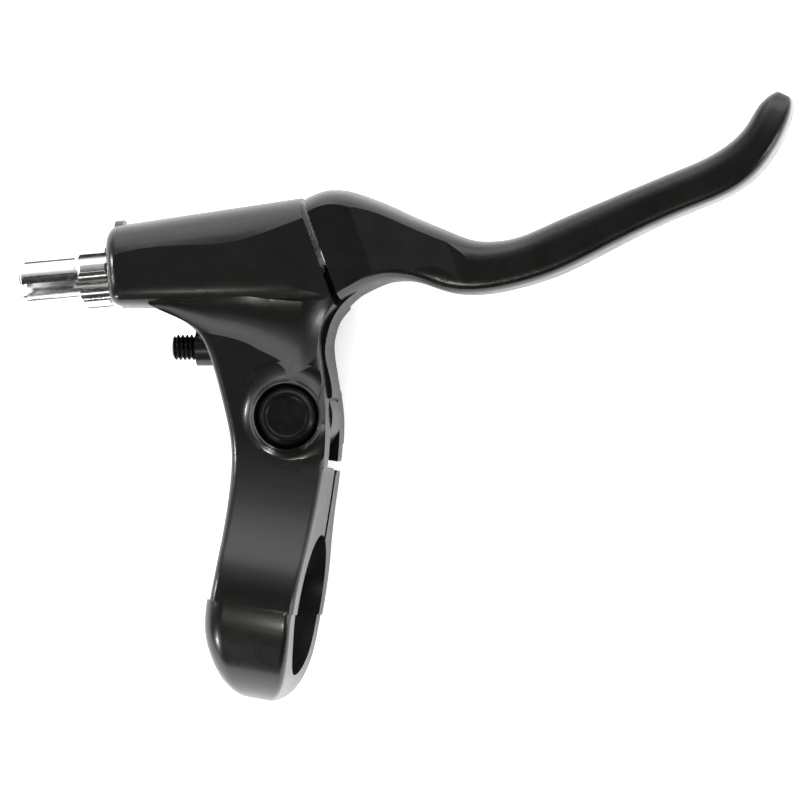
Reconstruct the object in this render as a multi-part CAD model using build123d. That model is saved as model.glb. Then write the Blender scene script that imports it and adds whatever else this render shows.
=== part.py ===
from build123d import *
import os
from math import cos, pi, radians, sin, sqrt

# Flat-bar brake lever for the right-hand grip, in millimetres.
# X runs along the handlebar towards its end, Y runs forwards, away from the rider's palm, and Z is up,
# along the lever's pivot. The origin is the centre of the handlebar clamp.

# Handlebar clamp
bar_diameter = 22.2
clamp_clearance = 0.05
ring_radius = 15.8
near_leave = radians(64)    # where the arm's two faces leave the ring
far_leave = radians(55)
near_blend = 9.5            # and where they are straight, beyond the ring
far_blend = 1.8
far_pull = 0.6              # how soon the far face turns away from the ring
split_top = -2.6
split_width = 1.7
far_side = -9.8             # lower face of the jaw and of the lower ear
jaw_round = 1.6
jaw_end_y = 21.4
jaw_gap = 1.5               # between the free jaw and the lower ear
far_widening = 1.07         # the far outline to the near one

# Lever pivot
pivot_y = 28.5
slot_half = 4.9             # half the space between the two ears
side_clearance = 0.3        # lever to each ear
lever_half = slot_half - side_clearance
hub_radius = 6.2
hub_gap = 0.8               # lever hub to the wall of the slot
ear_top = 9.7
ear_fall = 0.9              # the near face drops by this from the arm to the horn
boss_top = 11.3
boss_radius = 5.4
boss_foot = 8.6
boss_edge = 0.25
boss_sink = 0.6
lower_boss_height = 1.2
lower_boss_radius = 5.6
lower_boss_foot = 7.0
lower_boss_sink = 1.2
fine_edge = 0.35            # bevels of small turned pieces
head_edge = 0.5             # and of screw heads and the nut
turning_clearance = 0.05    # radial, every part that turns in another
seat_clearance = 0.03       # radial, every part that is fixed in another
step_y = -1.5               # where the wider ring begins
ring_beyond = 0.6           # the ring's side outlines meet this far beyond it
ring_edge = 3.2             # rounding of the ring's left side
arm_edge = 1.3              # and of the arm's
right_edge = 1.1
seam_margin = 0.1           # edges this near a joint of the body, or its middle, stay sharp
middle_margin = 0.5

# Pivot pin, its screw and the two bushings
pin_radius = 3.0
pin_head_radius = 4.6
pin_head_top = 11.6
pin_head_seat = 8.6
pin_head_edge = 0.9
pin_head_clearance = 0.4
pin_dimple_radius = 3.0
pin_dimple_depth = 0.25
pin_end = -10.6
screw_head_radius = 4.4
screw_head_height = 2.4
screw_radius = 1.95
screw_length = 9.0
socket_across = 4.0
socket_depth = 1.7
bushing_outer = 3.9
bushing_flange = 5.2
bushing_flange_height = 0.6
bushing_proud = 0.1
bushing_inner_end = 0.3

# Reach screw
reach_angle = 10.0
reach_tip = (-21.2, 36.0)
reach_radius = 2.0
reach_contact = 15.6        # from the outer end to the lever arm
contact_gap = 0.1
contact_radius = 2.5        # flat on the lever arm for the end of the screw
reach_socket_across = 2.0
reach_socket_depth = 2.2
lug_radius = 2.9
lug_start = 3.75            # from the outer end of the screw to the lug
lug_length = 8.0

# Cable adjuster
stem_radius = 3.4
stem_end = -14.0            # end of its hole, all along the cable line
stem_play = 0.5
barrel_radius = 3.6
barrel_start = -41.6
barrel_end = -32.5
barrel_flutes = 8
barrel_flute_radius = 1.15
barrel_flute_out = 0.75     # its centre outside the barrel
barrel_rim = 0.8            # left whole at the outer end
nut_radius = 5.05
nut_start = -32.1
nut_end = -27.2
nut_lobes = 10
nut_flute_radius = 1.5
nut_flute_out = 1.0
housing_radius = 2.6
housing_depth = 8.0
cable_hole_radius = 1.1
cable_slot = 1.9
adjuster_turn = 25.0        # the barrel's slot, from straight up towards the rider

# Scoop between the arm and the horn: its ridge as x, y and the height it lies below the near face
scoop_ridge = ((-26.0, 40.4, 1.3), (-21.0, 41.0, 1.3), (-17.2, 40.0, 0.9), (-11.4, 39.1, 0.1),
               (-6.4, 37.9, 0.0), (-1.3, 36.0, 0.0), (4.3, 31.5, 0.0), (8.0, 27.5, 0.0))
scoop_depth = 5.2
scoop_spread = 14.0
scoop_low = 0.7             # share of the width where the scoop is lowest
crease_share = 0.9          # share of the horn's lower half size where the scoop meets it

# Seat in the lever for the cable's barrel end
seat_along = 13.2
seat_radius = 3.6
seat_top = 3.2
seat_slit = 2.2

# Clamp bolt and washer
clamp_bolt_y = 17.0
clamp_bolt_radius = 2.5
clamp_bolt_end = 6.0
clamp_head_radius = 4.2
clamp_head_height = 5.0
clamp_socket_across = 4.0
clamp_socket_depth = 2.6
clamp_hole_radius = 2.75
washer_radius = 4.3
washer_height = 0.8
washer_play = 0.3

# Horn that carries the cable adjuster
horn_angle = 14.9           # cable line, measured from the handlebar
cable_reach = 25.0          # cable line to pivot
horn_low = 7.6              # half sizes of the horn at the foot of the pivot, below and above the line
horn_high = 8.9
low_slope = 0.085           # and how they grow along it
high_slope = 0.056
horn_depths = ((-27.0, 8.3), (-14.0, 8.6), (-2.0, 8.85), (10.0, 10.6))    # place along the line, half depth
horn_nose = 1.8             # rounding of the end
facet_height = 9.25         # flat that the joint line ends in, at its lower end
facet_tilt = radians(3)
collar_start = -26.0
collar_low = 5.5            # collar behind the rounded end, below, above and beside the cable line
collar_high = 8.3
collar_depth = 4.5
collar_power = 2.4          # a section's power makes it an oval at 2, and squarer above
horn_low_power = 5.0
horn_high_power = 2.7
collar_length = 1.3
gap_width = 1.0             # joint line between the horn and the lever
cable_bore_radius = 2.0
horn_slot = 2.2             # open underside, for fitting the cable

# Blade of the lever, and its flats beside the joint line
blade_rear_power = 6.0
blade_front_power = 3.2
shoulder_height = 9.1
shoulder_length = 6.9
slope_height = 6.4
slope_length = 19.0

# Outlines seen from above
section_points = 24
horn_joint = ((-4.49, 62.21), (4.26, 47.23))
arm_left = ((-24.5, 42.0), (-20.6, 40.85), (-17.1, 39.6), (-15.2, 37.95), (-13.5, 35.4), (-11.2, 30.7),
            (-9.3, 26.3), (-7.95, 22.5), (-7.0, 17.1), (-6.5, 10.9), (-6.2, 4.5), (-6.2, step_y))
arm_right = ((6.8, step_y), (6.8, 5.0), (6.8, 11.0), (6.7, 18.5), (6.4, 24.0), (5.9, 28.0), (5.0, 31.9),
             (3.6, 36.4), (2.45, 40.3), (2.4, 43.5), (3.3, 45.8), (4.9, 48.2))
arm_top = ((3.2, 49.0), (-24.0, 42.6))
ring_side = ((-6.9, step_y), (-6.85, -3.7), (-6.5, -6.7), (-5.4, -10.0), (-3.2, -13.9), (1.4, -16.4),
             (5.0, -14.8), (6.5, -10.5), (6.7, -6.0), (6.55, step_y))
outline_end = 52.0
arm_rear = ((9.9, 53.6), (8.0, 50.9), (5.4, 48.3), (3.7, 45.4), (3.05, 41.8), (3.3, 38.9), (4.5, 35.9),
            (5.5, 32.6))
arm_front = ((-6.05, 29.9), (-5.9, 35.0), (-5.2, 41.0), (-3.3, 46.5), (0.5, 51.0), (3.6, 54.6))
slot_front = ((-6.95, 28.5), (-7.3, 34.0), (-6.2, 41.0), (-4.3, 47.0), (-0.6, 51.6), (3.0, 55.6))
lever_front = ((-4.5, 62.2), (-2.3, 63.75), (0.9, 64.7), (4.5, 64.5), (8.5, 63.7), (13.0, 62.5),
               (18.0, 61.35), (22.2, 60.55), (25.3, 60.75), (29.4, 62.1), (34.0, 65.0), (39.2, 68.4),
               (45.6, 72.45), (51.5, 76.15), (56.2, 79.2), (59.8, 82.5), (61.9, 86.0), (63.0, 88.8),
               (64.3, 90.5), (65.3, 91.3))
lever_rear = ((4.2, 47.3), (5.6, 48.8), (7.6, 50.3), (9.9, 51.7), (12.2, 52.4), (14.6, 52.6),
              (17.6, 52.25), (20.9, 51.85), (24.8, 52.35), (30.4, 54.3), (36.6, 57.5), (43.17, 62.2),
              (49.4, 66.8), (55.5, 70.8), (60.4, 73.9), (64.3, 77.7), (66.9, 82.7), (67.95, 86.8),
              (68.05, 89.4), (67.5, 90.7))
lever_depth = (20.4, 20.4, 20.0, 19.0, 17.6, 16.0, 14.3, 13.1, 12.4, 11.7, 11.3, 11.1, 11.0, 11.0, 10.9,
               10.7, 10.0, 8.8, 7.0, 4.6)


def direction(angle):
    return Vector(cos(radians(angle)), sin(radians(angle)), 0)


cable_dir = direction(horn_angle)
cable_side = direction(horn_angle + 90)
cable_foot = Vector(0, pivot_y, 0) + cable_side * cable_reach


def on_cable(along, aside=0.0, z=0.0):
    point = cable_foot + cable_dir * along + cable_side * aside
    return Vector(point.X, point.Y, z)


def loaf(centre, up, low, high, depth, low_power, high_power):
    """Closed section in the plane of `up` and Z, a superellipse with its own power below and above."""
    points = []
    for i in range(section_points):
        c, s = cos(2 * pi * i / section_points), sin(2 * pi * i / section_points)
        power = high_power if s >= 0 else low_power
        reach = high if s >= 0 else low
        z = depth * abs(c) ** (2 / power) * (1 if c >= 0 else -1)
        point = centre + up * (reach * abs(s) ** (2 / power) * (1 if s >= 0 else -1))
        points.append(Vector(point.X, point.Y, z))
    return Face(Wire([Spline(*points, periodic=True).edge()]))


def across(shape):
    """Stands a drawing of distance from the joint line and height upright, across that line."""
    return joint_plane() * Plane(origin=(0, 0, 0), x_dir=(0, 1, 0), z_dir=(1, 0, 0)) * shape


def blade():
    faces = []
    for (fx, fy), (rx, ry), depth in zip(lever_front, lever_rear, lever_depth):
        front = Vector(fx, fy, 0)
        rear = Vector(rx, ry, 0)
        half = (front - rear).length / 2
        middle = (front + rear) * 0.5
        up = (front - rear).normalized()
        faces.append(loaf(middle, up, half, half, depth / 2, blade_rear_power, blade_front_power))
    upper = ((-gap_width, shoulder_height), (shoulder_length, shoulder_height), (slope_length, slope_height),
             (3 * outline_end, slope_height))
    lower = [(along, -height) for along, height in reversed(upper)]
    flats = extrude(across(make_face(Polyline(*upper, *lower, close=True))), 3 * outline_end, both=True)
    return loft(faces) & flats


def screw_axis(length=0.0):
    x, y = reach_tip
    tip = Vector(x, y, 0) + direction(reach_angle) * length
    return Plane(origin=tip, x_dir=(0, 0, 1), z_dir=direction(reach_angle))


def cable_plane(along):
    """Local Z runs along the cable towards the lever, local X points up."""
    return Plane(origin=on_cable(along), x_dir=(0, 0, 1), z_dir=cable_dir)


def rod(plane, radius, length):
    return plane * extrude(Circle(radius), length)


def hexagon(plane, across, depth):
    return plane * extrude(RegularPolygon(across / 2, 6, major_radius=False), depth)


def joint_plane():
    (ax, ay), (bx, by) = horn_joint
    return Plane(origin=(ax, ay, 0), x_dir=(bx - ax, by - ay, 0), z_dir=(0, 0, 1))


def beyond_joint(offset, side):
    """Everything on one side of the joint line between the horn and the lever."""
    block = Box(2 * outline_end, outline_end, 2 * outline_end)
    return joint_plane() * Pos(0, offset + side * outline_end / 2, 0) * block


def near_height(y):
    """Height of the arm's near face."""
    return ear_top - ear_fall * (y - ring_radius - near_blend) / (outline_end - ring_radius - near_blend)


def bracket_profile():
    """Side view of the bracket, without its bore and split."""
    start = Vector(cos(near_leave) * ring_radius, sin(near_leave) * ring_radius)
    leave = Vector(cos(far_leave) * ring_radius, -sin(far_leave) * ring_radius)
    near_end = Vector(ring_radius + near_blend, ear_top)
    far_end = Vector(ring_radius + far_blend, far_side)
    tip = Vector(outline_end, ear_top - ear_fall)
    slope = (tip - near_end).normalized()
    turn = [Vector(-leave.Y, leave.X), Vector(1, 0)]
    edges = [
        ThreePointArc(start, (-ring_radius, 0), leave),
        Spline(leave, far_end, tangents=turn, tangent_scalars=[far_pull, 1]),
        Polyline(far_end, (outline_end, far_side), tip, near_end),
        Spline(start, near_end, tangents=[Vector(start.Y, -start.X), slope], tangent_scalars=[1, 1]),
    ]
    wires = [edge.wire() if isinstance(edge, Polyline) else Wire([edge.edge()]) for edge in edges]
    return make_face(Plane.YZ * Wire.combine(wires)[0])


def drafted(*curves):
    """Solid between a near outline and the same one, widened in X, on the far side."""
    faces = []
    for height, widening in ((outline_end, 1), (-outline_end, far_widening)):
        wires = []
        for smooth, points in curves:
            points = [(x * widening, y, height) for x, y in points]
            wires.append(Wire([Spline(*points).edge()]) if smooth else Polyline(*points).wire())
        faces.append(make_face(Wire.combine(wires)[0]))
    return loft(faces)


def rounded(body, left_radius, right_radius, low, high):
    """The long edges between the profile and the outline, rounded, but not those at `low` and `high`."""
    for side, radius in ((-1, left_radius), (1, right_radius)):
        centres = [(e, e.center()) for e in body.edges() if e.geom_type == GeomType.BSPLINE]
        edges = [e for e, c in centres
                 if c.X * side > middle_margin and low + seam_margin < c.Y < high - seam_margin]
        body = fillet(edges, radius)
    return body


def arm_outline():
    return drafted((True, arm_left), (False, (arm_left[-1], arm_right[0])), (True, arm_right),
                   (False, (arm_right[-1], *arm_top, arm_left[0])))


def arm():
    """The arm with the near boss for the pivot on it."""
    body = extrude(bracket_profile(), outline_end, both=True) & arm_outline()
    boss = at_pivot(flared(boss_radius, boss_top, boss_foot, ear_top, boss_sink)) & arm_outline()
    return boss + rounded(body, arm_edge, right_edge, arm_left[-1][1], arm_left[0][1])


def far_boss():
    boss = flared(lower_boss_radius, lower_boss_height - far_side, lower_boss_foot, -far_side, lower_boss_sink)
    return at_pivot(mirror(boss, Plane.XY)) & arm_outline()


def ring():
    """The ring with its sides, whose outline is stretched in Y to the ring's size."""
    lowest = min(y for x, y in ring_side)
    stretch = (ring_radius + ring_beyond + step_y) / (step_y - lowest)
    side = [(x, step_y + (y - step_y) * stretch) for x, y in ring_side]
    outline = drafted((True, side), (False, (side[-1], side[0])))
    body = extrude(bracket_profile(), outline_end, both=True) & outline
    return rounded(body, ring_edge, right_edge, -outline_end, ring_side[0][1])


def horn_section(along, depth):
    low = horn_low + low_slope * along
    high = horn_high + high_slope * along
    return loaf(on_cable(along), cable_side, low, high, depth, horn_low_power, horn_high_power)


def horn():
    body = loft([horn_section(along, depth) for along, depth in horn_depths])
    nose = body.edges().sort_by(Axis(cable_foot, cable_dir))[0]
    body = fillet(nose, horn_nose)
    (ax, ay), (bx, by) = horn_joint
    along = Vector(ax - bx, ay - by, 0).normalized()
    tilted = along * cos(facet_tilt) - Vector(0, 0, sin(facet_tilt))
    normal = along * sin(facet_tilt) + Vector(0, 0, cos(facet_tilt))
    above = Plane(origin=(bx, by, facet_height), x_dir=tilted, z_dir=normal)
    body -= above * Pos(0, 0, outline_end / 2) * Box(2 * outline_end, 2 * outline_end, outline_end)
    return body - beyond_joint(-gap_width / 2, 1)


def turned(*profile):
    """Solid of revolution about Z from (radius, z) corners."""
    return revolve(make_face(Plane.XZ * Polyline(*profile, close=True)), Axis.Z)


def at_pivot(shape):
    return Pos(0, pivot_y, 0) * shape


def flared(radius, top, foot_radius, foot, sink):
    """Boss whose flank is a quarter round, hollow and level at its foot."""
    rim = top - boss_edge
    share = 1 - sqrt(0.5)
    middle = (foot_radius - (foot_radius - radius) * (1 - share), foot + (rim - foot) * share)
    edges = [
        Polyline((0, foot - sink), (0, top), (radius - boss_edge, top), (radius, rim)),
        ThreePointArc((radius, rim), middle, (foot_radius, foot)),
        Polyline((foot_radius, foot), (foot_radius, foot - sink), (0, foot - sink)),
    ]
    wires = [edge.wire() if isinstance(edge, Polyline) else Wire([edge.edge()]) for edge in edges]
    return revolve(make_face(Plane.XZ * Wire.combine(wires)[0]), Axis.Z)


def scoop():
    """Hollow with round sections that widens between the ridge of the arm's near face and the horn."""
    faces = []
    for x, y, below in scoop_ridge:
        along = (x - cable_foot.X) / cable_dir.X
        crease = on_cable(along, -crease_share * (horn_low + low_slope * along)).Y
        width = crease - y
        depth = scoop_depth * width / (width + scoop_spread)
        radius = ((scoop_low * width) ** 2 + depth ** 2) / (2 * depth)
        centre = (x, y + scoop_low * width, near_height(y) - below - depth + radius)
        faces.append(Plane(origin=centre, x_dir=(0, 1, 0), z_dir=(1, 0, 0)) * Circle(radius))
    return loft([face.face() for face in faces])


def slot():
    front = Spline(*slot_front)
    right = Polyline(slot_front[-1], (outline_end, slot_front[-1][1]), (outline_end, pivot_y), slot_front[0])
    opening = extrude(make_face(Wire.combine([Wire([front.edge()]), right.wire()])[0]), slot_half, both=True)
    hub = at_pivot(extrude(Circle(hub_radius + hub_gap), slot_half, both=True))
    side = at_pivot(Pos(outline_end / 2, 0, 0) * Box(outline_end, 2 * (hub_radius + hub_gap), 2 * slot_half))
    return opening + hub + side


def split():
    """Slit from the bore to the free end of the jaw, round at its corner."""
    bore = bar_diameter / 2 + clamp_clearance
    ear_y = jaw_end_y + jaw_gap
    low = split_top - split_width
    below = 2 * far_side
    corners = ((bore / 2, split_top), (ear_y, split_top), (ear_y, below), (jaw_end_y, below),
               (jaw_end_y, low), (bore / 2, low))
    outline = make_face(Polyline(*corners, close=True))
    inner = outline.vertices().sort_by_distance((ear_y, split_top, 0))
    outline = fillet(inner[0], jaw_round + jaw_gap)
    outer = outline.vertices().sort_by_distance((jaw_end_y, low, 0))
    outline = fillet(outer[0], jaw_round)
    return extrude(Plane.YZ * outline, outline_end, both=True)


def clamp_cuts():
    bore = bar_diameter / 2 + clamp_clearance
    bar = Pos(-outline_end, 0, 0) * rod(Plane.YZ, bore, 2 * outline_end)
    hole = Pos(0, clamp_bolt_y, 0)
    thread = hole * Pos(0, 0, split_top) * extrude(Circle(clamp_bolt_radius + seat_clearance),
                                                   clamp_bolt_end - split_top + head_edge)
    passage = hole * Pos(0, 0, far_side) * extrude(Circle(clamp_hole_radius), split_top - far_side)
    spotface = hole * Pos(0, 0, 2 * far_side) * extrude(Circle(washer_radius + washer_play), -far_side)
    return split() + bar + thread + passage + spotface


def bracket():
    body = arm() + ring()
    body -= scoop()
    body += at_pivot(extrude(Circle(boss_radius - boss_edge), boss_top))
    body += far_boss()
    rim = loaf(on_cable(collar_start), cable_side, collar_low, collar_high, collar_depth,
               collar_power, collar_power)
    collar = extrude(rim, collar_length, dir=cable_dir)
    lug = rod(screw_axis(lug_start), lug_radius, lug_length)
    body += horn() + collar + lug
    body -= beyond_joint(-gap_width / 2, 1)
    bore_length = 2 * outline_end
    head_hole = Circle(pin_head_radius + pin_head_clearance)
    cuts = [
        slot(),
        clamp_cuts(),
        rod(screw_axis(), reach_radius + turning_clearance, reach_contact),
        rod(cable_plane(stem_end), stem_radius + turning_clearance, -outline_end),
        rod(cable_plane(stem_end), cable_bore_radius, bore_length),
        cable_plane(0) * Pos(-outline_end / 2, 0, 0) * Box(outline_end, horn_slot, bore_length),
        at_pivot(Pos(0, 0, 2 * far_side) * extrude(Circle(pin_radius + seat_clearance), bore_length)),
        at_pivot(Pos(0, 0, pin_head_seat) * extrude(head_hole, outline_end)),
    ]
    for cut in cuts:
        body -= cut
    return body


def lever():
    front = Spline(*reversed(arm_front))
    rear = Spline(*arm_rear)
    lower = Polyline(arm_rear[-1], (0, pivot_y), arm_front[0])
    upper = Polyline(arm_front[-1], arm_rear[0])
    curves = [Wire([front.edge()]), Wire([rear.edge()]), lower.wire(), upper.wire()]
    outline = make_face(Wire.combine(curves)[0])
    hub = at_pivot(extrude(Circle(hub_radius), lever_half, both=True))
    arm = extrude(outline, lever_half, both=True) + hub
    body = arm + (blade() - beyond_joint(gap_width / 2, -1))
    body -= rod(screw_axis(), contact_radius, reach_contact + contact_gap)
    recess = Circle(bushing_flange + turning_clearance)
    for side in (1, -1):
        floor = side * (lever_half + bushing_proud - bushing_flange_height)
        body -= at_pivot(Pos(0, 0, floor) * extrude(recess, side * slot_half))
    body -= at_pivot(extrude(Circle(bushing_outer + seat_clearance), lever_half, both=True))
    return body - cable_end_seat()


def cable_end_seat():
    """Seat for the barrel end of the cable, open below, with its slit towards the horn."""
    centre = on_cable(seat_along)
    seat = Pos(centre.X, centre.Y, seat_top) * extrude(Circle(seat_radius), -outline_end)
    slit = Box(outline_end, seat_slit, outline_end)
    slit = cable_plane(seat_along) * Pos((seat_slit - outline_end) / 2, 0, -outline_end / 2) * slit
    return seat + slit


def pivot_pin():
    edge = pin_head_edge
    dimple = pin_head_top - pin_dimple_depth
    head = turned((0, pin_head_seat), (pin_head_radius, pin_head_seat),
                  (pin_head_radius, pin_head_top - edge), (pin_head_radius - edge, pin_head_top),
                  (pin_dimple_radius + pin_dimple_depth, pin_head_top),
                  (pin_dimple_radius, dimple), (0, dimple))
    shank = turned((0, pin_end), (pin_radius - fine_edge, pin_end), (pin_radius, pin_end + fine_edge),
                   (pin_radius, pin_head_seat), (0, pin_head_seat))
    thread = Pos(0, 0, pin_end) * extrude(Circle(screw_radius + seat_clearance), screw_length)
    return at_pivot(head + shank - thread)


def pivot_screw():
    seat = far_side - lower_boss_height
    foot = seat - screw_head_height
    end = seat + screw_length
    edge = head_edge
    body = turned((0, foot), (screw_head_radius - edge, foot), (screw_head_radius, foot + edge),
                  (screw_head_radius, seat), (screw_radius, seat), (screw_radius, end), (0, end))
    return at_pivot(body - hexagon(Plane.XY.offset(foot), socket_across, socket_depth))


def bushing(side):
    face = lever_half + bushing_proud
    back = face - bushing_flange_height
    inner = pin_radius + turning_clearance
    body = turned((inner, bushing_inner_end), (bushing_outer, bushing_inner_end), (bushing_outer, back),
                  (bushing_flange, back), (bushing_flange, face), (inner, face))
    return at_pivot(body if side > 0 else mirror(body, Plane.XY))


def reach_screw():
    plane = screw_axis()
    body = rod(plane, reach_radius, reach_contact)
    body = chamfer(body.edges().filter_by(GeomType.CIRCLE), fine_edge)
    return body - hexagon(plane, reach_socket_across, reach_socket_depth)


def adjusting_barrel():
    length = barrel_end - barrel_start
    plane = cable_plane(barrel_start)
    head = rod(plane, barrel_radius, length)
    head = chamfer(head.edges().filter_by(GeomType.CIRCLE), fine_edge)
    groove = extrude(Circle(barrel_flute_radius), length)
    flute = Pos(barrel_radius + barrel_flute_out, 0, barrel_rim) * groove
    for i in range(barrel_flutes):
        head -= plane * Rot(0, 0, adjuster_turn + 360 / barrel_flutes * (i + 0.5)) * flute
    stem = rod(plane, stem_radius, stem_end - barrel_start - stem_play)
    seat = rod(plane, housing_radius, housing_depth)
    hole = rod(plane, cable_hole_radius, stem_end - barrel_start)
    return head + stem - seat - hole - adjuster_slot()


def adjuster_slot():
    length = 2 * (stem_end - barrel_start)
    slit = Box(2 * nut_radius, cable_slot, length)
    return cable_plane(barrel_start) * Rot(0, 0, adjuster_turn) * Pos(nut_radius, 0, 0) * slit


def adjuster_nut():
    plane = cable_plane(nut_start)
    length = nut_end - nut_start
    body = rod(plane, nut_radius, length)
    body = chamfer(body.edges().filter_by(GeomType.CIRCLE), head_edge)
    flute = Pos(nut_radius + nut_flute_out, 0, 0) * extrude(Circle(nut_flute_radius), length)
    for i in range(nut_lobes):
        body -= plane * Rot(0, 0, adjuster_turn + 360 / nut_lobes * (i + 0.5)) * flute
    return body - rod(plane, stem_radius + turning_clearance, length) - adjuster_slot()


def clamp_washer():
    ring = turned((clamp_hole_radius, far_side - washer_height), (washer_radius, far_side - washer_height),
                  (washer_radius, far_side), (clamp_hole_radius, far_side))
    return Pos(0, clamp_bolt_y, 0) * ring


def clamp_bolt():
    seat = far_side - washer_height
    foot = seat - clamp_head_height
    edge = head_edge
    body = turned((0, foot), (clamp_head_radius - edge, foot), (clamp_head_radius, foot + edge),
                  (clamp_head_radius, seat), (clamp_bolt_radius, seat),
                  (clamp_bolt_radius, clamp_bolt_end - edge), (clamp_bolt_radius - edge, clamp_bolt_end),
                  (0, clamp_bolt_end))
    socket = hexagon(Plane.XY.offset(foot), clamp_socket_across, clamp_socket_depth)
    return Pos(0, clamp_bolt_y, 0) * (body - socket)


def parts():
    return {
        "bracket": bracket(),
        "lever_blade": lever(),
        "pivot_pin": pivot_pin(),
        "pivot_screw": pivot_screw(),
        "upper_bushing": bushing(1),
        "lower_bushing": bushing(-1),
        "reach_screw": reach_screw(),
        "adjusting_barrel": adjusting_barrel(),
        "adjuster_nut": adjuster_nut(),
        "clamp_washer": clamp_washer(),
        "clamp_bolt": clamp_bolt(),
    }


os.makedirs("parts", exist_ok=True)
for name, shape in parts().items():
    export_step(shape, f"parts/{name}.step")
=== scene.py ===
from math import acos, cos, pi, radians, sin

import bmesh
import bpy
from mathutils import Matrix, Vector

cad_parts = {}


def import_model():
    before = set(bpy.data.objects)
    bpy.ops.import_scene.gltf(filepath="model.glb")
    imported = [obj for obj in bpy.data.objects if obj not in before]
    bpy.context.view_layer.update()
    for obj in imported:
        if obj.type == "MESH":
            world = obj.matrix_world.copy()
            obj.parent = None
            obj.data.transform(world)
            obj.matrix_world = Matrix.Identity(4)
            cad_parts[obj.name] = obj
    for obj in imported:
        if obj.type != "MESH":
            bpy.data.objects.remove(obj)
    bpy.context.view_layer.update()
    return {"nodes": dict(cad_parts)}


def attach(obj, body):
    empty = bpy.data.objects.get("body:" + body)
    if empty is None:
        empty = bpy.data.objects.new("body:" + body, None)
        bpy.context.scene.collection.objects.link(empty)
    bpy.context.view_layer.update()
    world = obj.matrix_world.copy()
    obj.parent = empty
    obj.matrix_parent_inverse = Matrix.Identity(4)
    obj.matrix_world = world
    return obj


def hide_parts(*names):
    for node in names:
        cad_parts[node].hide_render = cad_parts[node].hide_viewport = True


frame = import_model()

nodes = frame["nodes"]
scene = bpy.context.scene
scene.view_settings.view_transform = "Standard"

# Camera
PHOTO = 800                     # pixels, square
SCALE = 6400.0                  # pixels of the photograph per metre
YAW = radians(8)                # seen a little from the lever's outer end
ROLL = radians(10)
ORIGIN = (265.8, 597.4)         # where the clamp's centre is in the photograph
DISTANCE = 1.2
SENSOR = 36.0
FLOOR = -0.016


def aim_camera():
    """Long lens, turned a little about the part's Y axis and about its own line of sight."""
    right = Vector((cos(YAW), 0, -sin(YAW)))
    up = Vector((0, 1, 0))
    back = Vector((sin(YAW), 0, cos(YAW)))
    x = right * cos(ROLL) + up * sin(ROLL)
    y = up * cos(ROLL) - right * sin(ROLL)
    centre = x * ((PHOTO / 2 - ORIGIN[0]) / SCALE) + y * ((ORIGIN[1] - PHOTO / 2) / SCALE)
    data = bpy.data.cameras.new("photo_camera")
    data.sensor_width = SENSOR
    data.lens = SENSOR * DISTANCE / (PHOTO / SCALE)
    data.clip_start = 0.05
    data.clip_end = 10
    camera = bpy.data.objects.new("photo_camera", data)
    scene.collection.objects.link(camera)
    turn = Matrix((x, y, back)).transposed().to_4x4()
    camera.matrix_world = Matrix.Translation(centre + back * DISTANCE) @ turn
    scene.camera = camera


aim_camera()


# Materials
class Nodes:
    """A material's node tree, with short ways to add what the surfaces here need."""

    def __init__(self, name):
        self.material = bpy.data.materials.new(name)
        self.material.use_nodes = True
        self.tree = self.material.node_tree
        self.shader = self.tree.nodes["Principled BSDF"]
        self.coords = self.add("ShaderNodeTexCoord").outputs["Object"]

    def add(self, kind, **values):
        node = self.tree.nodes.new(kind)
        for key, value in values.items():
            if key.startswith("in_"):
                name = key[3:]
                index = int(name) if name.isdigit() else name.replace("_", " ")
                node.inputs[index].default_value = value
            else:
                setattr(node, key, value)
        return node

    def link(self, a, b):
        self.tree.links.new(a, b)

    def ramp(self, source, *stops):
        node = self.add("ShaderNodeValToRGB")
        ramp = node.color_ramp
        while len(ramp.elements) < len(stops):
            ramp.elements.new(0.5)
        for element, (place, colour) in zip(ramp.elements, stops):
            element.position = place
            element.color = (*colour, 1)
        self.link(source, node.inputs[0])
        return node.outputs[0]

    def noise(self, scale, detail):
        node = self.add("ShaderNodeTexNoise", in_Scale=scale, in_Detail=detail, in_Roughness=0.6)
        self.link(self.coords, node.inputs["Vector"])
        return node.outputs["Fac"]

    def colour(self, scale, detail, dark_tone, light_tone):
        tone = self.ramp(self.noise(scale, detail), (0.35, dark_tone), (0.7, light_tone))
        self.link(tone, self.shader.inputs["Base Color"])

    def roughness(self, scale, detail, low, high):
        node = self.add("ShaderNodeMapRange", in_1=0.3, in_2=0.7, in_3=low, in_4=high)
        self.link(self.noise(scale, detail), node.inputs[0])
        self.link(node.outputs[0], self.shader.inputs["Roughness"])

    def bump(self, scale, strength, distance):
        node = self.add("ShaderNodeBump", in_Strength=strength, in_Distance=distance)
        self.link(self.noise(scale, 2.0), node.inputs["Height"])
        self.link(node.outputs[0], self.shader.inputs["Normal"])

    def set(self, **values):
        for key, value in values.items():
            self.shader.inputs[key.replace("_", " ")].default_value = value


def black_forging(name, low, high):
    """Black anodised forging: a dark warm body under a clear satin film, with a faint grain."""
    n = Nodes(name)
    n.colour(60.0, 3.0, (0.0088, 0.0082, 0.0078), (0.0112, 0.0103, 0.0098))
    n.roughness(260.0, 2.0, low, high)
    n.set(Specular_IOR_Level=0.5, Coat_Weight=0.25, Coat_Roughness=0.12, Coat_IOR=1.5)
    n.bump(5200.0, 0.06, 0.00004)
    return n.material


def black_steel(name):
    n = Nodes(name)
    n.colour(260.0, 4.0, (0.012, 0.0115, 0.011), (0.020, 0.019, 0.018))
    n.roughness(900.0, 3.0, 0.26, 0.38)
    n.set(Metallic=0.6, Specular_IOR_Level=0.5)
    n.bump(3800.0, 0.15, 0.00003)
    return n.material


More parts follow.
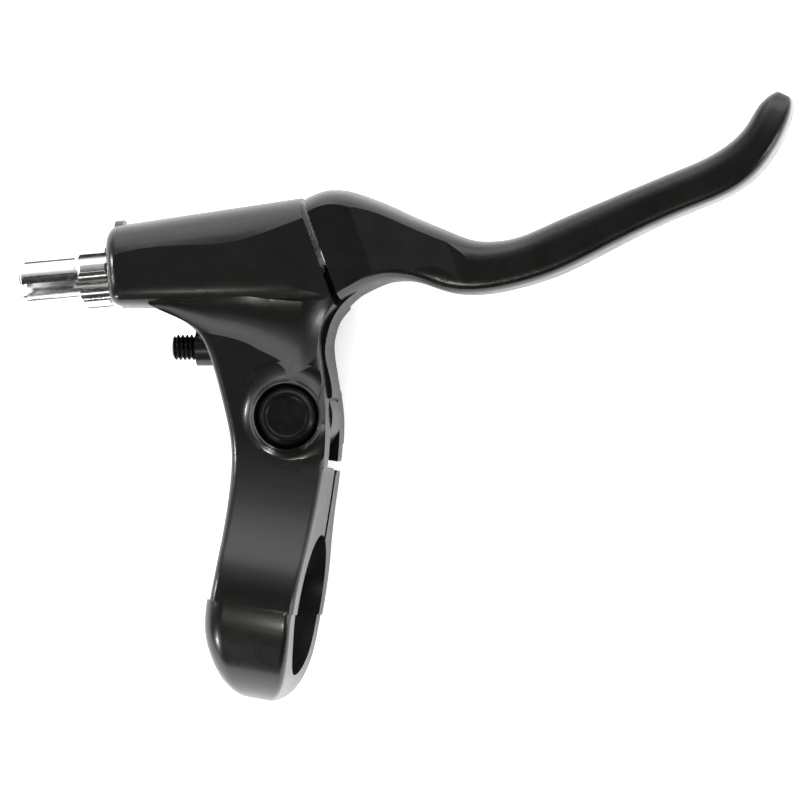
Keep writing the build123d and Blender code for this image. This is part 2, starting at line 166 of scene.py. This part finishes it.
def bright_aluminium(name):
    n = Nodes(name)
    n.colour(300.0, 4.0, (0.70, 0.71, 0.72), (0.82, 0.83, 0.84))
    n.roughness(1200.0, 3.0, 0.14, 0.26)
    n.set(Metallic=1.0)
    n.bump(4200.0, 0.1, 0.00003)
    return n.material


def acetal(name):
    n = Nodes(name)
    n.colour(200.0, 3.0, (0.10, 0.10, 0.11), (0.14, 0.14, 0.15))
    n.roughness(800.0, 3.0, 0.45, 0.6)
    n.bump(5000.0, 0.1, 0.00003)
    return n.material


def dress(name, material):
    mesh = nodes[name].data
    mesh.materials.clear()
    mesh.materials.append(material)


forging = black_forging("bracket_forging", 0.26, 0.31)
dark = black_steel("black_oxide")
finishes = (
    (forging, ("bracket",)),
    (black_forging("lever_forging", 0.22, 0.31), ("lever_blade",)),
    (dark, ("pivot_pin", "pivot_screw", "reach_screw", "clamp_bolt")),
    (bright_aluminium("bright_aluminium"), ("adjusting_barrel", "adjuster_nut", "clamp_washer")),
    (acetal("bushing_acetal"), ("upper_bushing", "lower_bushing")),
)
for material, names in finishes:
    for name in names:
        dress(name, material)


# Near ear: the right side of the bracket's near face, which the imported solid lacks. In millimetres.
MM = 0.001
EAR_LEFT = (-1.5, -6.4)         # its left edge, over the sound part of the solid, before and after
EAR_LEFT_Y = (20.0, 27.0)       # these places along the arm, with an even change between them
EAR_PROUD = 0.015               # it lies this far over the solid
EAR_BOTTOM = -2.0               # its underside between the bore and the lever's slot
EAR_UNDER = 4.9                 # roof of the lever's slot
BORE_SKIN = 0.25                # it ends this far above the bore
SLOT_START = 21.7
EAR_EDGE = 1.1                  # rounding between the near face and the side wall
BLEND_END = 25.3                # the near face is straight from here to the horn
EAR_TOP = 9.7
EAR_SLOPE = 0.9 / 26.7
DRAFT_HEIGHT = 52.0             # the outline widens by DRAFT from this height to as far below
DRAFT = 0.07
BORE = 11.15
PIVOT_Y = 28.5
BOSS = (5.4, 8.6, 9.7, 11.05, 11.3)         # radius, foot radius, foot, rim and top of the boss
BOSS_CORE = 0.5                 # open core of the turned boss, inside the recess
BOSS_EDGE = 0.25
BOSS_SINK = 0.6
RECESS = (5.0, 8.6)             # radius and floor of the pin head's recess
PIN_HOLE = (3.03, 3.0)          # radius of the pin's hole, and where its cutter begins
FACETS = 128
CUTTER_BOTTOM = -3.0
CUTTER_TOP = 20.0
SCOOP = (                       # x, y and z of the centre, and radius
    (-11.4, 43.3, 14.02, 6.44),
    (-6.4, 43.61, 16.83, 9.47),
    (-1.3, 43.72, 21.19, 14.14),
    (4.3, 43.11, 31.98, 25.31),
    (8.0, 42.40, 43.44, 36.95),
)
SCOOP_START = -8.0
SCOOP_LENGTH = 15.8
SCOOP_STEPS = 36
SCOOP_FACETS = 48
SCOOP_TOP = 14.0

# Reach screw, M4
SCREW_TIP = Vector((-21.2, 36.0, 0))
SCREW_ANGLE = radians(10)
SCREW_LENGTH = 15.6
SCREW_CREST = 2.0
SCREW_ROOT = 1.58
SCREW_PITCH = 0.7
SCREW_CHAMFER = 0.35
SCREW_SOCKET = 2.0
SCREW_SOCKET_DEPTH = 2.2
SCREW_FACETS = 48
SCREW_STEPS = 10                # sections to a turn of the thread


def solid_mesh(name, rings, closed=False):
    """Mesh through rings of as many points each, capped at both ends or closed on itself."""
    bm = bmesh.new()
    rows = [[bm.verts.new(Vector(point) * MM) for point in ring] for ring in rings]
    count = len(rows[0])
    pairs = list(zip(rows, rows[1:] + rows[:1])) if closed else list(zip(rows, rows[1:]))
    for first, second in pairs:
        for i in range(count):
            j = (i + 1) % count
            bm.faces.new((first[i], first[j], second[j], second[i]))
    if not closed:
        bm.faces.new(rows[0])
        bm.faces.new(rows[-1])
    bmesh.ops.recalc_face_normals(bm, faces=bm.faces)
    mesh = bpy.data.meshes.new(name)
    bm.to_mesh(mesh)
    bm.free()
    return bpy.data.objects.new(name, mesh)


def combine(target, other, operation):
    """Boolean of two solids, applied to the first; the second is removed."""
    for obj in (target, other):
        if obj.name not in scene.collection.objects:
            scene.collection.objects.link(obj)
    step = target.modifiers.new("solid", "BOOLEAN")
    step.operation = operation
    step.solver = "EXACT"
    step.object = other
    shape = target.evaluated_get(bpy.context.evaluated_depsgraph_get())
    mesh = bpy.data.meshes.new_from_object(shape)
    target.modifiers.clear()
    target.data = mesh
    bpy.data.objects.remove(other)


def ray(origin, direction):
    """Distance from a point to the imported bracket, in millimetres."""
    hit = nodes["bracket"].ray_cast(Vector(origin) * MM, Vector(direction))
    return (hit[1] - Vector(origin) * MM).length / MM if hit[0] else None


def near_height(y):
    """Z of the near face: measured up to the slot, then blended into the straight face before the horn."""
    if y >= BLEND_END:
        return EAR_TOP - EAR_SLOPE * (y - BLEND_END)
    sure = min(y, SLOT_START - 2)
    height = 30 - ray((-3, sure, 30), (0, 0, -1))
    share = max(0, (y - sure) / (BLEND_END - sure))
    return height + (EAR_TOP - height) * (2 * share - share ** 2)


def wall(y):
    """X of the side wall without its draft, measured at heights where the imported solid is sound."""
    if y < 13:
        z = max(BORE ** 2 - y ** 2, 0) ** 0.5 + 2.2
    elif y < 21.2:
        z = -1.3
    else:
        y = max(y, 23.2)
        z = -6.5
    x = 60 - ray((60, y, z), (-1, 0, 0))
    return x / (1 + DRAFT * (DRAFT_HEIGHT - z) / (2 * DRAFT_HEIGHT))


def ear_section(y):
    """Section across the arm, from its left edge over the near face and the rounded edge down the side."""
    base = wall(y)

    def side(z):
        return base * (1 + DRAFT * (DRAFT_HEIGHT - z) / (2 * DRAFT_HEIGHT)) + EAR_PROUD

    top = near_height(y) + EAR_PROUD
    low = EAR_UNDER if y > SLOT_START else EAR_BOTTOM
    if y < BORE:
        low = (BORE ** 2 - y ** 2) ** 0.5 + BORE_SKIN
    low = min(low, top - 2 * EAR_EDGE)
    right = side(top - EAR_EDGE)
    share = min(1, max(0, (y - EAR_LEFT_Y[0]) / (EAR_LEFT_Y[1] - EAR_LEFT_Y[0])))
    left = EAR_LEFT[0] + (EAR_LEFT[1] - EAR_LEFT[0]) * share
    points = [(left, y, low), (left, y, top)]
    for i in range(9):
        turn = pi / 2 * i / 8
        points.append((right - EAR_EDGE * (1 - sin(turn)), y, top - EAR_EDGE * (1 - cos(turn))))
    return points + [(side(low), y, low)]


def blended(x):
    """Centre and radius of the scoop's section at x, by a cubic through the sections beside it."""
    i = max(0, min(len(SCOOP) - 2, sum(x >= s[0] for s in SCOOP) - 1))
    a, b = SCOOP[i], SCOOP[i + 1]
    before = SCOOP[max(0, i - 1)]
    after = SCOOP[min(len(SCOOP) - 1, i + 2)]
    t = (x - a[0]) / (b[0] - a[0])
    values = []
    for k in (1, 2, 3):
        start = (b[k] - before[k]) / (b[0] - before[0]) * (b[0] - a[0])
        end = (after[k] - a[k]) / (after[0] - a[0]) * (b[0] - a[0])
        values.append((2 * t ** 3 - 3 * t ** 2 + 1) * a[k] + (t ** 3 - 2 * t ** 2 + t) * start
                      + (3 * t ** 2 - 2 * t ** 3) * b[k] + (t ** 3 - t ** 2) * end)
    return values


def scoop():
    """Cutter of the hollow between the boss and the horn: arcs closed straight across the top."""
    rings = []
    for i in range(SCOOP_STEPS + 1):
        x = SCOOP_START + SCOOP_LENGTH * i / SCOOP_STEPS
        y, z, radius = blended(x)
        reach = acos(max(-1, 1 - (SCOOP_TOP - (z - radius)) / radius))
        ring = []
        for k in range(SCOOP_FACETS + 1):
            turn = reach * (2 * k / SCOOP_FACETS - 1)
            ring.append((x, y + radius * sin(turn), z - radius * cos(turn) + EAR_PROUD))
        rings.append(ring)
    return solid_mesh("scoop_cut", rings)


def lathe(name, profile):
    """Solid turned about the lever's pivot."""
    rings = []
    for i in range(FACETS):
        turn = 2 * pi * i / FACETS
        rings.append([(r * cos(turn), PIVOT_Y + r * sin(turn), z) for r, z in profile])
    return solid_mesh(name, rings, closed=True)


def boss_profile():
    radius, foot_radius, foot, rim, top = BOSS
    flank = []
    for i in range(13):
        turn = pi / 2 * i / 12
        flank.append((foot_radius - (foot_radius - radius) * sin(turn), rim - (rim - foot) * cos(turn)))
    return [(BOSS_CORE, foot - BOSS_SINK), (foot_radius, foot - BOSS_SINK), *flank,
            (radius - BOSS_EDGE, top), (BOSS_CORE, top)]


def recess_profile():
    radius, floor_height = RECESS
    hole, start = PIN_HOLE
    middle = 0.0001
    return [(middle, start), (hole, start), (hole, floor_height), (radius, floor_height),
            (radius, CUTTER_TOP), (middle, CUTTER_TOP)]


def finish_mesh(piece, material, sharp):
    """One material, and smooth shading but for edges sharper than so many degrees."""
    for polygon in piece.data.polygons:
        polygon.use_smooth = True
    piece.data.set_sharp_from_angle(angle=radians(sharp))
    piece.data.materials.clear()
    piece.data.materials.append(material)


def near_ear():
    """The ear with its boss, scoop and recess. Sections lie closer where the slit and the slot begin."""
    stations = [-5.6 + 0.3 * i for i in range(13)] + [-1.55, -1.45] + [-1 + 0.5 * i for i in range(46)]
    stations += [SLOT_START, SLOT_START + 0.05] + [22 + 0.5 * i for i in range(53)]
    sections = [ear_section(y) for y in stations]
    walls = []
    for section in sections:
        left, y, _ = section[0]
        right = section[-1][0]
        walls.append([(left, y, CUTTER_BOTTOM), (left, y, CUTTER_TOP),
                      (right, y, CUTTER_TOP), (right, y, CUTTER_BOTTOM)])
    ear = solid_mesh("near_ear", sections)
    boss = lathe("boss", boss_profile())
    combine(boss, solid_mesh("ear_walls", walls), "INTERSECT")
    combine(ear, boss, "UNION")
    combine(ear, scoop(), "DIFFERENCE")
    combine(ear, lathe("recess", recess_profile()), "DIFFERENCE")
    finish_mesh(ear, forging, 32)
    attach(ear, "clamp_bracket")


def reach_screw():
    """Set screw with its helical thread and hexagon socket."""
    axis = Vector((cos(SCREW_ANGLE), sin(SCREW_ANGLE), 0))
    side = Vector((-axis.y, axis.x, 0))
    up = Vector((0, 0, 1))

    def ring(along, radius_at):
        points = []
        for k in range(SCREW_FACETS):
            turn = 2 * pi * k / SCREW_FACETS
            point = SCREW_TIP + axis * along + (side * cos(turn) + up * sin(turn)) * radius_at(turn)
            points.append(point)
        return points

    def threaded(along):
        chamfer = max(0, SCREW_CHAMFER - min(along, SCREW_LENGTH - along))

        def radius_at(turn):
            phase = (along / SCREW_PITCH - turn / (2 * pi)) % 1
            flank = min(1, max(0, abs(2 * phase - 1) * 1.5 - 0.25))     # crest and root are a sixth each
            return min(SCREW_ROOT + (SCREW_CREST - SCREW_ROOT) * flank, SCREW_CREST - chamfer)
        return radius_at

    def hexagon(turn):
        return SCREW_SOCKET / 2 / cos((turn % (pi / 3)) - pi / 6)

    steps = round(SCREW_LENGTH / SCREW_PITCH * SCREW_STEPS)
    rings = [ring(SCREW_SOCKET_DEPTH, hexagon), ring(0, hexagon)]
    for i in range(steps + 1):
        along = SCREW_LENGTH * i / steps
        rings.append(ring(along, threaded(along)))
    screw = solid_mesh("reach_screw_threaded", rings)
    finish_mesh(screw, dark, 40)
    scene.collection.objects.link(screw)
    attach(screw, "reach_adjuster")
    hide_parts("reach_screw")


near_ear()
reach_screw()


# Floor, world and lamps
MIDDLE = Vector((0.015, 0.035, 0.0))


def floor():
    """White table, as the camera and reflections see it, with a painted shadow near the part: ambient
    occlusion dims its glow there.
    """
    mesh = bpy.data.meshes.new("floor")
    r = 3.0                     # half its side
    mesh.from_pydata([(-r, -r, FLOOR), (r, -r, FLOOR), (r, r, FLOOR), (-r, r, FLOOR)], [], [(0, 1, 2, 3)])
    obj = bpy.data.objects.new("floor", mesh)
    scene.collection.objects.link(obj)
    n = Nodes("floor_white")
    n.set(Base_Color=(0.93, 0.93, 0.93, 1), Roughness=0.7, Specular_IOR_Level=0.2)
    n.set(Emission_Color=(1, 1, 1, 1))
    path = n.add("ShaderNodeLightPath")
    shade = n.add("ShaderNodeAmbientOcclusion", samples=8, in_Distance=0.04).outputs["AO"]
    parts = []
    # Emission whitens the floor for camera and glossy rays; the ambient occlusion ramps dim it near the
    # part, a painted shadow on the floor and in its reflections on the part.
    for ray_kind, low, high in (("Is Camera Ray", 0.1, 0.5), ("Is Glossy Ray", 0.4, 0.9)):
        part = n.add("ShaderNodeMath", operation="MULTIPLY")
        n.link(path.outputs[ray_kind], part.inputs[0])
        n.link(n.ramp(shade, (low, (0, 0, 0)), (high, (1, 1, 1))), part.inputs[1])
        parts.append(part)
    lift = n.add("ShaderNodeMath", operation="MAXIMUM")
    n.link(parts[0].outputs[0], lift.inputs[0])
    n.link(parts[1].outputs[0], lift.inputs[1])
    n.link(lift.outputs[0], n.shader.inputs["Emission Strength"])
    mesh.materials.append(n.material)


def world():
    """Pale studio: a broad soft light above the front, dimmer behind and straight overhead."""
    w = bpy.data.worlds.new("studio")
    scene.world = w
    w.use_nodes = True
    tree = w.node_tree
    split = tree.nodes.new("ShaderNodeSeparateXYZ")
    tree.links.new(tree.nodes.new("ShaderNodeTexCoord").outputs["Generated"], split.inputs[0])

    def levels(axis, low, high, *stops):
        """Brightness by one coordinate of the direction, with an eased change between the stops."""
        span = tree.nodes.new("ShaderNodeMapRange")
        span.inputs[1].default_value = low
        span.inputs[2].default_value = high
        tree.links.new(split.outputs[axis], span.inputs[0])
        ramp = tree.nodes.new("ShaderNodeValToRGB")
        ramp.color_ramp.interpolation = "EASE"
        while len(ramp.color_ramp.elements) < len(stops):
            ramp.color_ramp.elements.new(0.5)
        for element, (place, level) in zip(ramp.color_ramp.elements, stops):
            element.position = (place - low) / (high - low)
            element.color = (level, level, level, 1)
        tree.links.new(span.outputs[0], ramp.inputs[0])
        return ramp.outputs[0]

    def joined(operation, a, b):
        node = tree.nodes.new("ShaderNodeMath")
        node.operation = operation
        tree.links.new(a, node.inputs[0])
        tree.links.new(b, node.inputs[1])
        return node.outputs[0]

    height = levels("Z", 0, 1, (0.0, 1.0), (0.25, 0.8), (0.6, 0.22), (0.85, 0.07), (1.0, 0.05))
    front = levels("Y", -1, 1, (-1.0, 0.05), (-0.35, 0.2), (0.35, 1.0))
    box_y = levels("Y", -1, 1, (0.16, 0.0), (0.44, 0.4), (0.66, 1.75), (0.82, 1.75), (1.0, 0.4))
    box_x = levels("X", -1, 1, (-0.75, 0.0), (-0.35, 1.0), (0.40, 1.0), (0.80, 0.0))
    light = joined("ADD", joined("MULTIPLY", height, front), joined("MULTIPLY", box_y, box_x))
    tree.links.new(light, tree.nodes["Background"].inputs[0])


def area(name, place, size, power, colour=(1, 1, 1)):
    """Oval lamp aimed at the middle of the part."""
    data = bpy.data.lights.new(name, "AREA")
    data.shape = "ELLIPSE"
    data.size, data.size_y = size
    data.energy = power
    data.color = colour
    lamp = bpy.data.objects.new(name, data)
    scene.collection.objects.link(lamp)
    lamp.location = place
    lamp.rotation_euler = (MIDDLE - Vector(place)).to_track_quat("-Z", "Y").to_euler()


floor()
world()
area("left_lamp", (-0.75, 0.02, 0.42), (0.16, 0.16), 3.0)
area("low_left_lamp", (-0.42, -0.75, 0.35), (0.14, 0.14), 3.0)
area("right_strip", (0.95, -0.1, 0.45), (0.3, 0.9), 2.5)
area("rear_lamp", (0.04, -0.42, 0.85), (0.18, 0.09), 1.2, (1, 0.98, 0.86))
